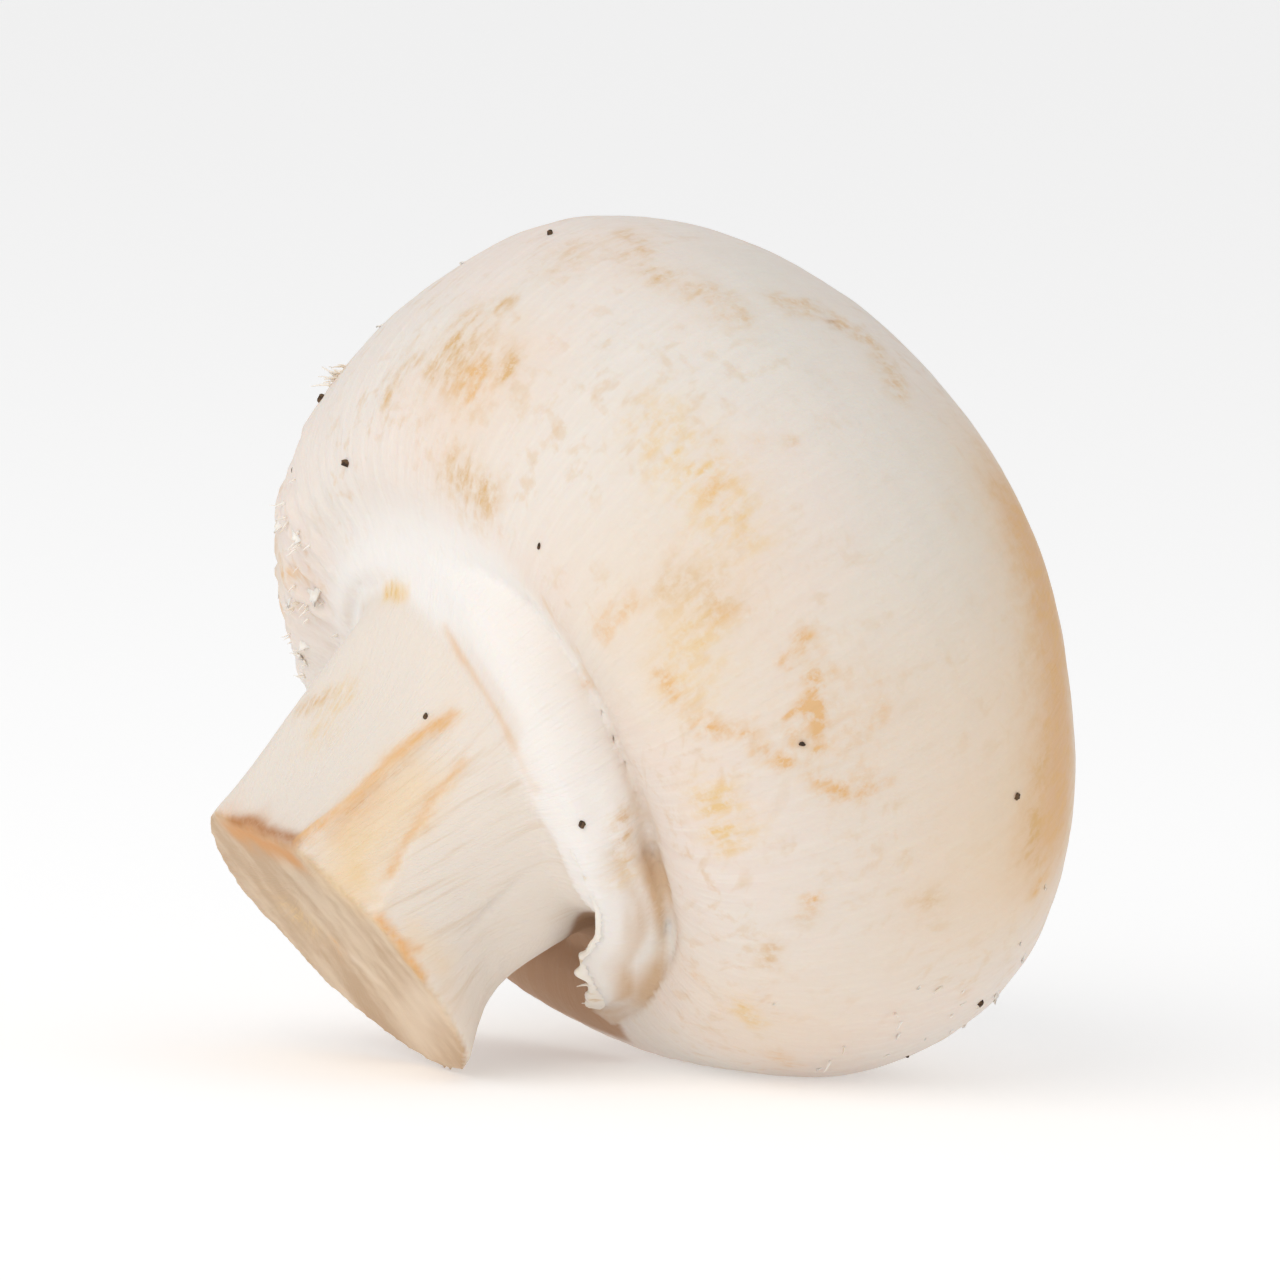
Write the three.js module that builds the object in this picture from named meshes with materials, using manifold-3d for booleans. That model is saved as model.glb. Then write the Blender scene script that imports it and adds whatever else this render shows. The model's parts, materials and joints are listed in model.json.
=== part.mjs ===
// Button mushroom, closed cup, lying on its side. Cap, veil and cut stem grew together, so it is one body.
// Millimetres, +Z up. The body is shaped upright about its own axis, dome up, then laid down on Z = 0.
// Angles round the axis start at the side that will lie underneath.
import * as THREE from 'three';
import { mergeVertices } from 'three/addons/utils/BufferGeometryUtils.js';
import Module from 'manifold-3d';

const { degToRad, smoothstep } = THREE.MathUtils;

// Cap: heights are measured from its widest ring, up to the dome and down to the rolled margin.
const capRadius = 25.4;
const domeHeight = 18.2;
const marginRadius = 16.8;
const marginDrop = 13.8;

// Veil collar: the thick white band that joins the margin to the stem, between an outer and an inner crease.
const creaseRadius = 12.3;
const creaseDrop = 13;
const junctionRadius = 10;
const junctionDrop = 16;
const collarBulge = 1.6;

// The veil reaches further down the stem on one side, by this much either way of its middle.
const veilSlant = 2.2;
const veilSide = degToRad(-75);

// On one side the veil spreads out over the margin. Past it, the veil melts into the cap without a crease.
const spread = { side: degToRad(-138), halfWidth: degToRad(26), radius: 12.6, reach: 2.4, push: 1.8 };
const melt = { side: degToRad(165), full: degToRad(26), none: degToRad(62), depth: 2.2 };

// Underneath, the veil tore off the stem and left a hollow round the stem's root.
const hollow = {
  side: degToRad(8), full: degToRad(42), none: degToRad(78), radius: 11.3, reach: 2.2, depth: 3.8,
};

// The veil's torn edge hangs over that hollow. It leaves the stem and bends out to the margin. Each station
// has the side in degrees, then the distance from the axis and the drop of its free rim and of its root.
const tornEdgeStations = [
  [-114, 10.5, 15.2, 11.6, 14.2],
  [-96, 10.8, 17.2, 12.6, 14.8],
  [-78, 11.6, 17.9, 12.9, 14.6],
  [-60, 12.4, 17.4, 13.7, 13.8],
  [-46, 12.3, 17.1, 14.3, 13.3],
  [-33, 11.8, 17.0, 14.9, 13.1],
  [-20, 13.4, 15.9, 15.6, 12.9],
  [-8, 14.8, 14.7, 16.2, 12.7],
  [2, 16.1, 13.7, 16.9, 12.6],
];
const tornEdgeThickness = 1.0;
const tornEdgeTaper = 0.3;

// Stem: its centre line leans off the cap's axis, and its end flares.
const waistRadius = 9.2;
const endRadius = 9.9;
const stemReach = 36;
const leanStart = 12;
const leanEnd = 27.2;
const leanX = 4.6;
const leanY = 2.0;
const leanCurve = 1.4;

// The stem isn't evenly round: it is fuller up one side, drawn in on another, and has a tip at its end.
const swellings = [
  { side: degToRad(160), halfWidth: degToRad(50), swell: 1.5, drop: 16, reach: 8 },
  { side: degToRad(165), halfWidth: degToRad(40), swell: 0.4, drop: 23, reach: 4 },
  { side: degToRad(-48), halfWidth: degToRad(36), swell: -0.9, drop: 20.6, reach: 3 },
  { side: degToRad(-24), halfWidth: degToRad(36), swell: 2.65, drop: 25.4, reach: 4.5 },
];

// Flats where the stem was peeled and trimmed: side, and depth of the flat below the round stem.
const stemFlats = [
  { side: degToRad(-174), depth: 1.2 },
  { side: degToRad(-129), depth: 0.45 },
  { side: degToRad(70), depth: 0.7 },
];

// Cut end: the drop of a point that the knife's plane goes through, and the way the plane faces.
const cutDrop = 26.5;
const cutPoint = new THREE.Vector3(leanX, leanY, -cutDrop);
const cutNormal = new THREE.Vector3(0.255, 0.123, -0.959).normalize();

// Broad swellings and dents of the cap: the way they face, their height outwards and their half width.
const lumps = [
  { toward: new THREE.Vector3(0.87, -0.46, 0.15), height: 1.5, halfWidth: degToRad(30) },
  { toward: new THREE.Vector3(0.8, 0.05, -0.6), height: -1.0, halfWidth: degToRad(20) },
  { toward: new THREE.Vector3(-0.9, 0.43, -0.06), height: -1.2, halfWidth: degToRad(25) },
  { toward: new THREE.Vector3(-0.1, -0.4, 0.9), height: 0.5, halfWidth: degToRad(30) },
  { toward: new THREE.Vector3(-0.2, -0.75, -0.62), height: 1.1, halfWidth: degToRad(30) },
];

// Lying: the lean of the axis from upright, the heading of the dome, and the depth flattened underneath.
const lean = degToRad(61.8);
const heading = degToRad(35.5);
const flatDepth = 0.7;

const turnSegments = 84;
const tornEdgeSteps = 28;
const tornEdgeSides = 8;
const fleshColour = 0xf1e6d8;

// Half outline of the upright body as radius and height. It is drawn from the top of the dome to the end of
// the stem, and handed on from the stem upwards, so that the turned faces point outwards.
function outline() {
  const path = new THREE.Path();
  path.moveTo(0, domeHeight);
  path.bezierCurveTo(0.54 * capRadius, domeHeight, capRadius, 0.53 * domeHeight, capRadius, 0);
  path.bezierCurveTo(
    capRadius, -0.55 * marginDrop,
    marginRadius + 3.9, -marginDrop,
    marginRadius, -marginDrop,
  );
  path.bezierCurveTo(
    marginRadius - 2, -marginDrop,
    creaseRadius + 1, -creaseDrop - 0.3,
    creaseRadius, -creaseDrop,
  );
  path.bezierCurveTo(
    creaseRadius + collarBulge, -creaseDrop - 1.4,
    junctionRadius + 1.6, -junctionDrop - 0.2,
    junctionRadius, -junctionDrop,
  );
  path.bezierCurveTo(waistRadius, -junctionDrop - 3, waistRadius, -leanEnd + 3, endRadius, -leanEnd - 2);
  path.lineTo(endRadius, -stemReach);
  path.lineTo(0, -stemReach);
  const divisions = [12, 12, 5, 9, 10, 1, 1];
  const points = [new THREE.Vector2(0, domeHeight)];
  path.curves.forEach((curve, index) => points.push(...curve.getPoints(divisions[index]).slice(1)));
  return points.reverse();
}

// 1 at the middle of a hump and falling smoothly to nothing past its half width.
function hump(distance, halfWidth) {
  return Math.exp(-((distance / halfWidth) ** 2));
}

function angleBetween(angle, side) {
  return Math.atan2(Math.sin(angle - side), Math.cos(angle - side));
}

// 1 on a side and as far as its full width either way, fading to nothing at its outer width.
function onSide(angle, { side, full, none }) {
  return 1 - smoothstep(Math.abs(angleBetween(angle, side)), full, none);
}

// Flattens the round stem: a point outside a flat comes in to it.
function peel(point, angle, radius, drop) {
  const fade = smoothstep(drop, junctionDrop, junctionDrop + 4);
  let peeled = radius;
  for (const flat of stemFlats) {
    const facing = Math.cos(angleBetween(angle, flat.side));
    if (facing > 0.5) peeled = Math.min(peeled, (radius - flat.depth * fade) / facing);
  }
  point.x *= peeled / radius;
  point.y *= peeled / radius;
}

// Moves one point of the turned body to where it grew.
function grow(point) {
  const radius = Math.hypot(point.x, point.y);
  const angle = Math.atan2(point.y, point.x);
  const drop = -point.z;
  const inner = 1 - smoothstep(radius, creaseRadius + 1, marginRadius);

  if (drop > junctionDrop + 0.5 && radius > 1) peel(point, angle, radius, drop);

  if (drop > 0.65 * marginDrop && drop <= junctionDrop + 0.1) {
    const inward = (marginRadius - radius) / (marginRadius - junctionRadius);
    if (inward > 0) {
      const melted = -marginDrop - melt.depth * inward ** 3;
      point.z += (melted - point.z) * onSide(angle, melt);
    }
    point.z += hollow.depth * onSide(angle, hollow) * hump(radius - hollow.radius, hollow.reach);
    const spreadHere = hump(angleBetween(angle, spread.side), spread.halfWidth)
      * hump(radius - spread.radius, spread.reach)
      * smoothstep(radius, junctionRadius, junctionRadius + 1.5);
    point.x += spread.push * spreadHere * Math.cos(angle);
    point.y += spread.push * spreadHere * Math.sin(angle);
  }
  const collar = smoothstep(drop, creaseDrop, junctionDrop) * inner;
  point.z -= veilSlant * Math.cos(angle - veilSide) * collar;

  const outward = new THREE.Vector3(point.x, point.y, point.z).normalize();
  const onCap = smoothstep(radius, creaseRadius, creaseRadius + 4);
  const capPart = drop > 0 ? onCap : 1;
  for (const lump of lumps) {
    const push = lump.height * capPart * hump(outward.angleTo(lump.toward), lump.halfWidth);
    point.addScaledVector(outward, push);
  }

  if (drop > junctionDrop - 1) {
    let swollen = 0;
    for (const { side, halfWidth, swell, drop: middle, reach } of swellings) {
      swollen += swell * hump(angleBetween(angle, side), halfWidth) * hump(drop - middle, reach);
    }
    const swell = swollen * smoothstep(radius, 0, waistRadius) / Math.max(radius, 1);
    point.x += point.x * swell;
    point.y += point.y * swell;
  }

  const along = Math.max(0, (drop - leanStart) / (leanEnd - leanStart)) * inner;
  point.x += leanX * along ** leanCurve;
  point.y += leanY * along ** leanCurve;
}

function turnedBody() {
  const geometry = new THREE.LatheGeometry(outline(), turnSegments);
  geometry.rotateX(Math.PI / 2);
  const position = geometry.getAttribute('position');
  const point = new THREE.Vector3();
  for (let i = 0; i < position.count; i += 1) {
    point.fromBufferAttribute(position, i);
    grow(point);
    position.setXYZ(i, point.x, point.y, point.z);
  }
  return geometry;
}

function onAxis(side, radius, drop) {
  return new THREE.Vector3(radius * Math.cos(degToRad(side)), radius * Math.sin(degToRad(side)), -drop);
}

// The torn edge as a thin curved sheet with a rounded free rim, thinner at both ends and closed all round.
function tornEdge() {
  const rims = new THREE.CatmullRomCurve3(tornEdgeStations.map(([side, r, d]) => onAxis(side, r, d)));
  const roots = new THREE.CatmullRomCurve3(tornEdgeStations.map(([side, , , r, d]) => onAxis(side, r, d)));
  const [steps, sides] = [tornEdgeSteps, tornEdgeSides];
  const vertices = [];
  const faces = [];
  for (let i = 0; i <= steps; i += 1) {
    const rim = rims.getPoint(i / steps);
    const root = roots.getPoint(i / steps);
    const middle = rim.clone().add(root).multiplyScalar(0.5);
    const wide = rim.clone().sub(root).multiplyScalar(0.5);
    const fromEnd = Math.min(i, steps - i) / steps;
    const fullness = tornEdgeTaper + (1 - tornEdgeTaper) * smoothstep(fromEnd, 0, tornEdgeTaper);
    const thick = wide.clone().cross(rims.getTangent(i / steps)).setLength(fullness * tornEdgeThickness / 2);
    for (let j = 0; j < sides; j += 1) {
      const turn = (2 * Math.PI * j) / sides;
      const corner = middle.clone().addScaledVector(wide, Math.cos(turn));
      corner.addScaledVector(thick, Math.sin(turn));
      vertices.push(corner.x, corner.y, corner.z);
      if (i === steps) continue;
      const next = (j + 1) % sides;
      const [a, b] = [i * sides + j, i * sides + next];
      faces.push(a, a + sides, b, b, a + sides, b + sides);
    }
  }
  for (let j = 1; j < sides - 1; j += 1) {
    const last = steps * sides;
    faces.push(0, j, j + 1, last, last + j + 1, last + j);
  }
  const geometry = new THREE.BufferGeometry();
  geometry.setAttribute('position', new THREE.Float32BufferAttribute(vertices, 3));
  geometry.setIndex(faces);
  return geometry;
}

const wasm = await Module();
wasm.setup();

function toSolid(geometry) {
  geometry.deleteAttribute('normal');
  geometry.deleteAttribute('uv');
  const merged = mergeVertices(geometry, 1e-4);
  return new wasm.Manifold(new wasm.Mesh({
    numProp: 3,
    vertProperties: new Float32Array(merged.getAttribute('position').array),
    triVerts: new Uint32Array(merged.getIndex().array),
  }));
}

function toGeometry(solid) {
  const mesh = solid.getMesh();
  const geometry = new THREE.BufferGeometry();
  geometry.setAttribute('position', new THREE.BufferAttribute(mesh.vertProperties, 3));
  geometry.setIndex(new THREE.BufferAttribute(mesh.triVerts, 1));
  return geometry;
}

// A large block whose one face passes through a point, with the block beyond it along the normal.
function blockBeyond(point, normal) {
  const size = 120;
  const block = new THREE.BoxGeometry(size, size, size);
  block.translate(0, 0, size / 2);
  const turn = new THREE.Quaternion().setFromUnitVectors(new THREE.Vector3(0, 0, 1), normal);
  block.applyQuaternion(turn);
  block.translate(point.x, point.y, point.z);
  return block;
}

const whole = toSolid(turnedBody()).add(toSolid(tornEdge()));
const lying = toGeometry(whole.subtract(toSolid(blockBeyond(cutPoint, cutNormal))));
lying.applyMatrix4(new THREE.Matrix4().makeRotationFromEuler(new THREE.Euler(0, lean, heading, 'ZYX')));
lying.computeBoundingBox();
lying.translate(0, 0, -lying.boundingBox.min.z - flatDepth);
const ground = blockBeyond(new THREE.Vector3(0, 0, 0), new THREE.Vector3(0, 0, -1));
const rested = toGeometry(toSolid(lying).subtract(toSolid(ground)));

// The origin is under the middle of the whole, on the surface it lies on.
rested.computeBoundingBox();
const middle = rested.boundingBox.getCenter(new THREE.Vector3());
rested.translate(-middle.x, -middle.y, 0);

const material = new THREE.MeshStandardMaterial({ color: fleshColour, roughness: 0.7, metalness: 0 });
const mushroom = new THREE.Mesh(rested, material);
mushroom.name = 'mushroom';

const part = new THREE.Group();
part.add(mushroom);
export default part;
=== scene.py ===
# %% [markdown]
# # A button mushroom lying on its side
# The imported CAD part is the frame: it fixes the size, the place and the pose, and nothing here moves it.
# This script gives it its looks. One grown body of flesh stands for the CAD solid, and small loose things
# sit on it: the torn rim of the veil, flakes of skin round the margin, fibres and grains of growing soil.

# %% Load the frame
import json
import math
import random

import bpy
import numpy as np
from mathutils import Euler, Matrix, Vector, noise

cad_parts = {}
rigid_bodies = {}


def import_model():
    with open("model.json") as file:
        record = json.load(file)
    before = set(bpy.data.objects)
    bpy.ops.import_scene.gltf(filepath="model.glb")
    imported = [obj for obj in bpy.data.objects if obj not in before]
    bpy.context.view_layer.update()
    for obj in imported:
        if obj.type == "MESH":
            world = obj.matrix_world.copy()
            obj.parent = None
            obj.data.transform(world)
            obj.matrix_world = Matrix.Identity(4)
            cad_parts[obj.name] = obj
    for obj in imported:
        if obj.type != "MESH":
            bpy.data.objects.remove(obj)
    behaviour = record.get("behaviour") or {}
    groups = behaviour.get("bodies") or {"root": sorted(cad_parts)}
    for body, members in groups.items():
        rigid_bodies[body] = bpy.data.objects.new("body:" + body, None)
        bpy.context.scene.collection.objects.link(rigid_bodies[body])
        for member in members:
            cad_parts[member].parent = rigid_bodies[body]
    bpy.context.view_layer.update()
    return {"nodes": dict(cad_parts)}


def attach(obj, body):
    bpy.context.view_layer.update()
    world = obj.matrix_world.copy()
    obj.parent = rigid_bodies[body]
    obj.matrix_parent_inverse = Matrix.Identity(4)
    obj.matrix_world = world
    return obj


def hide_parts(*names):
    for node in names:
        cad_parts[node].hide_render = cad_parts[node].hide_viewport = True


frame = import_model()
MM = 0.001

# %% [markdown]
# ## The mushroom's own axis
# A mushroom is grown round an axis, and its fibres, folds and stains follow it. So places on it are given
# in its own terms, in millimetres: the side is an angle round the axis that starts underneath, and the
# latitude is 90 degrees on top of the dome, 0 at the widest ring and less below it. The stem's places are
# given by the side and the drop below the widest ring. Its centre line leans off the axis, as in the CAD
# solid.

# %% Axis and places on it
CAP_CENTRE = Vector((1.6562, 0.8022, 23.8166)) * MM
AXIS_TURN = Euler((0, math.radians(61.8), math.radians(35.5)))
AXES = np.array(AXIS_TURN.to_matrix())
DOWN = AXES @ np.array((0, 0, -1))
# The stem leans: the drops between which it leaves the axis, how far it gets, and how it curves.
LEAN_START = 12
LEAN_END = 27.2
LEAN_X = 4.6
LEAN_Y = 2.0
LEAN_CURVE = 1.4
# The veil meets the stem aslant: lower by this much on this side.
VEIL_SLANT = 2.2
VEIL_SIDE = math.radians(-75)
# A distance from the axis that is outside the mushroom everywhere.
OUTSIDE = 60


def to_grown(points):
    """Points in metres to millimetres in the mushroom's own frame: +X underneath, +Z up the dome."""
    return (np.asarray(points) - np.array(CAP_CENTRE)) @ AXES / MM


def from_grown(points):
    """The way back, to metres in the frame."""
    return np.asarray(points) @ AXES.T * MM + np.array(CAP_CENTRE)


def from_polar(side, radius, drop):
    """A point in the mushroom's own frame from its side in degrees, distance from the axis and drop."""
    return np.array((radius * math.cos(math.radians(side)), radius * math.sin(math.radians(side)), -drop))


def stem_centre(drop):
    """Where the stem's centre line passes, at a drop below the widest ring."""
    along = np.clip((drop - LEAN_START) / (LEAN_END - LEAN_START), 0, None) ** LEAN_CURVE
    return LEAN_X * along, LEAN_Y * along


def hit(body, start, way):
    """The first point of the body's outside met from outside, coming back along a way from its inside."""
    start, way = Vector(from_grown(start)), Vector(AXES @ np.array(way)).normalized()
    _, place, normal, _ = body.ray_cast(start + way * OUTSIDE * MM, -way)
    return place, normal


def on_cap(body, side, latitude):
    side, latitude = math.radians(side), math.radians(latitude)
    flat = math.cos(latitude)
    return hit(body, (0, 0, 0), (flat * math.cos(side), flat * math.sin(side), math.sin(latitude)))


def on_stem(body, side, drop):
    x, y = stem_centre(drop)
    side = math.radians(side)
    return hit(body, (x, y, -drop), (math.cos(side), math.sin(side), 0))


# %% [markdown]
# ## Camera
# The view is low, from a little above the table, with a long lens, so that nothing looks stretched. The
# small roll stands for the way the mushroom leaned on its neighbours.

# %% Camera
CAMERA_RISE = math.radians(5)
CAMERA_ROLL = math.radians(3)
CAMERA_DISTANCE = 0.62
FRAME_WIDTH = 0.0715
SENSOR_WIDTH = 36
AIM = Vector((-0.0006, 0, 0.0237))


def add_camera():
    data = bpy.data.cameras.new("camera")
    data.sensor_width = SENSOR_WIDTH
    data.lens = SENSOR_WIDTH * CAMERA_DISTANCE / FRAME_WIDTH
    camera = bpy.data.objects.new("camera", data)
    away = Vector((0, -math.cos(CAMERA_RISE), math.sin(CAMERA_RISE)))
    camera.location = AIM + away * CAMERA_DISTANCE
    turn = away.to_track_quat("Z", "Y").to_matrix() @ Euler((0, 0, CAMERA_ROLL)).to_matrix()
    camera.rotation_euler = turn.to_euler()
    bpy.context.collection.objects.link(camera)
    bpy.context.scene.camera = camera
    return camera


camera = add_camera()
print("camera lens:", round(camera.data.lens), "mm")

# %% [markdown]
# ## Flesh: the smooth body
# Cap, veil and stem are one body of flesh. Its form is right in the CAD solid but its facets show, so a
# copy is remeshed into small even faces. The cap is smoothed well, as its skin is, and the stem only a
# little, because the knife left it with crisp edges. Even faces also give the relief of the next step
# something to move.

# %% Helpers for meshes
MERGE = 0.001 * MM
SMOOTHING = 0.5


def select_only(*things):
    """Selects these objects and no other, and makes the first the active one."""
    bpy.ops.object.select_all(action="DESELECT")
    for thing in things:
        thing.select_set(True)
    bpy.context.view_layer.objects.active = things[0]


def apply_modifier(thing, kind, **settings):
    select_only(thing)
    modifier = thing.modifiers.new(kind.title(), kind)
    for name, value in settings.items():
        setattr(modifier, name, value)
    bpy.ops.object.modifier_apply(modifier=modifier.name)


def edit_all(thing, operator, **settings):
    """Applies an edit operator to the whole of a mesh."""
    select_only(thing)
    bpy.ops.object.mode_set(mode="EDIT")
    bpy.ops.mesh.select_all(action="SELECT")
    operator(**settings)
    bpy.ops.object.mode_set(mode="OBJECT")


def copy_node(node, name):
    piece = frame["nodes"][node].copy()
    piece.data = piece.data.copy()
    piece.name = piece.data.name = name
    bpy.context.collection.objects.link(piece)
    piece.parent = None
    piece.data.materials.clear()
    edit_all(piece, bpy.ops.mesh.remove_doubles, threshold=MERGE)
    return piece


def get_points(thing):
    points = np.empty(len(thing.data.vertices) * 3)
    thing.data.vertices.foreach_get("co", points)
    return points.reshape(-1, 3)


def set_points(thing, points):
    thing.data.vertices.foreach_set("co", points.ravel())
    thing.data.update()


def get_normals(thing):
    normals = np.empty(len(thing.data.vertices) * 3)
    thing.data.vertex_normals.foreach_get("vector", normals)
    return normals.reshape(-1, 3)


def polar_places(thing):
    """Every point's side in radians, distance from the axis and drop below the widest ring."""
    x, y, z = to_grown(get_points(thing)).T
    return np.arctan2(y, x), np.hypot(x, y), -z


def smoothstep(value, low, high):
    """Rises softly from 0 at the low value to 1 at the high one."""
    t = np.clip((value - low) / (high - low), 0, 1)
    return t * t * (3 - 2 * t)


def hump(distance, half_width):
    """Falls softly from 1 in the middle to little past the half width."""
    return np.exp(-((distance / half_width) ** 2))


def smooth_where(thing, weights, iterations):
    """Smooths a mesh as far as each point's weight, from 0 to 1, says."""
    group = thing.vertex_groups.new(name="smoothed")
    for index, weight in enumerate(weights):
        if weight > 0:
            group.add([index], float(weight), "REPLACE")
    apply_modifier(thing, "SMOOTH", factor=SMOOTHING, iterations=iterations, vertex_group=group.name)
    thing.vertex_groups.clear()


# %% One even body from the CAD solid
VOXEL = 0.35 * MM
# A slit between the veil's torn edge and the margin, on the mushroom's own axes.
SLIT = (7.5, -11.2, -13.5)
SLIT_RADIUS = 0.75


def fill_slit(thing, place, radius):
    """Closes a slit too narrow to be seen by sinking a small ball in it, which remeshing then merges."""
    middle = from_grown(place)
    bpy.ops.mesh.primitive_ico_sphere_add(subdivisions=2, radius=radius * MM, location=middle)
    select_only(thing, bpy.context.object)
    bpy.ops.object.join()


def keep_main_body(thing):
    """Deletes the few stray specks that remeshing leaves in tight creases."""
    top = max(thing.data.vertices, key=lambda vertex: vertex.co.z).index
    select_only(thing)
    bpy.ops.object.mode_set(mode="EDIT")
    bpy.ops.mesh.select_mode(type="VERT")
    bpy.ops.mesh.select_all(action="DESELECT")
    bpy.ops.object.mode_set(mode="OBJECT")
    thing.data.vertices[top].select = True
    bpy.ops.object.mode_set(mode="EDIT")
    bpy.ops.mesh.select_linked()
    bpy.ops.mesh.select_all(action="INVERT")
    bpy.ops.mesh.delete(type="VERT")
    bpy.ops.object.mode_set(mode="OBJECT")


flesh = copy_node("mushroom", "mushroom_flesh")
fill_slit(flesh, SLIT, SLIT_RADIUS)
apply_modifier(flesh, "REMESH", mode="VOXEL", voxel_size=VOXEL)
keep_main_body(flesh)
print("remeshed faces:", len(flesh.data.polygons))

# %% Smoothing
CAP_SMOOTHINGS = 14
ROOT_SMOOTHINGS = 8
CREASE_SMOOTHINGS = 60
ALL_SMOOTHINGS = 2
# The closed crease beside the scuffed margin: its side and how far it is from the axis.
CREASE_SIDE = math.radians(131)
CREASE_RADIUS = 12.6

side, radius, drop = polar_places(flesh)
off_the_veil = np.maximum(1 - smoothstep(drop, 9, 12), smoothstep(radius, 13, 15))
smooth_where(flesh, off_the_veil, CAP_SMOOTHINGS)
side, radius, drop = polar_places(flesh)
stem_root = smoothstep(drop, 14, 16) * (1 - smoothstep(drop, 19, 22))
stem_root *= 1 - smoothstep(radius, 10.6, 11.2)
smooth_where(flesh, stem_root, ROOT_SMOOTHINGS)
side, radius, drop = polar_places(flesh)
closed_crease = hump(side - CREASE_SIDE, 0.35) * hump(radius - CREASE_RADIUS, 3)
closed_crease *= smoothstep(drop, 10, 12)
smooth_where(flesh, closed_crease, CREASE_SMOOTHINGS)
apply_modifier(flesh, "SMOOTH", factor=SMOOTHING, iterations=ALL_SMOOTHINGS)
select_only(flesh)
bpy.ops.object.shade_smooth()
print("points smoothed at the root:", int((stem_root > 0).sum()))

# %% [markdown]
# ## Flesh: regions
# The skin differs from place to place: fine and dry on the cap, thick and bright on the veil, streaked on
# the stem, and bare flesh where the knife cut. Each region is worked out from the mushroom's own frame and
# kept as an attribute, so that the relief and the material agree on where it is.

# %% Where the regions are
CUT_DROP = 26.5
CUT_POINT = np.array((LEAN_X, LEAN_Y, -CUT_DROP))
CUT_NORMAL = np.array((0.255, 0.123, -0.959))
CUT_NORMAL = CUT_NORMAL / np.linalg.norm(CUT_NORMAL)

# Where the white veil ends on the cap: side, distance from the axis, and the width over which it fades.
VEIL_EDGE = (
    (-180, 15.6, 4.5), (-150, 17.0, 3.2), (-136, 16.3, 1.8), (-124, 15.3, 1.0), (-116, 13.9, 0.7),
    (-100, 13.2, 0.5), (-69, 13.0, 0.5), (-30, 13.4, 0.8), (60, 12.6, 1.0), (110, 13.0, 3.0),
    (150, 14.5, 4.0),
)
# The veil's torn edge: side, then the distance from the axis and the drop of its free rim and of its root.
TORN_EDGE = (
    (-114, 10.5, 15.2, 11.6, 14.2), (-96, 10.8, 17.2, 12.6, 14.8), (-78, 11.6, 17.9, 12.9, 14.6),
    (-60, 12.4, 17.4, 13.7, 13.8), (-46, 12.3, 17.1, 14.3, 13.3), (-33, 11.8, 17.0, 14.9, 13.1),
    (-20, 13.4, 15.9, 15.6, 12.9), (-8, 14.8, 14.7, 16.2, 12.7), (2, 16.1, 13.7, 16.9, 12.6),
)
# The middle of the torn edge.
TORN_SIDE = -37
# The hollow beside the stem, which is painted brown as shade: its side, and how far from the axis it starts
# to reach.
HOLLOW_SIDE = 8
HOLLOW_REACH = 15.2
# The stem's skin ends this far from its centre line, and starts at this drop.
STEM_REACH = 12.9
STEM_TOP = 15.3
# Two ridges run down the stem beside the peeled facet: drop and side along each.
FIRST_RIDGE = ((19.4, -139), (25.5, -144), (28.4, -150))
SECOND_RIDGE = ((20.1, -126), (23.2, -123), (25.2, -120), (28.1, -115))


# %% Regions of the flesh
def degrees_apart(angle, side):
    """How far an angle is from a side, in degrees, the short way round."""
    gap = angle - math.radians(side)
    return np.degrees(np.arctan2(np.sin(gap), np.cos(gap)))


def past_ridge(p, ridge):
    """How far round the stem, in degrees, each point is past a ridge that runs down it."""
    drops, sides = zip(*ridge)
    return degrees_apart(p.stem_side - np.radians(np.interp(p.drop, drops, sides)), 0)


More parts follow.
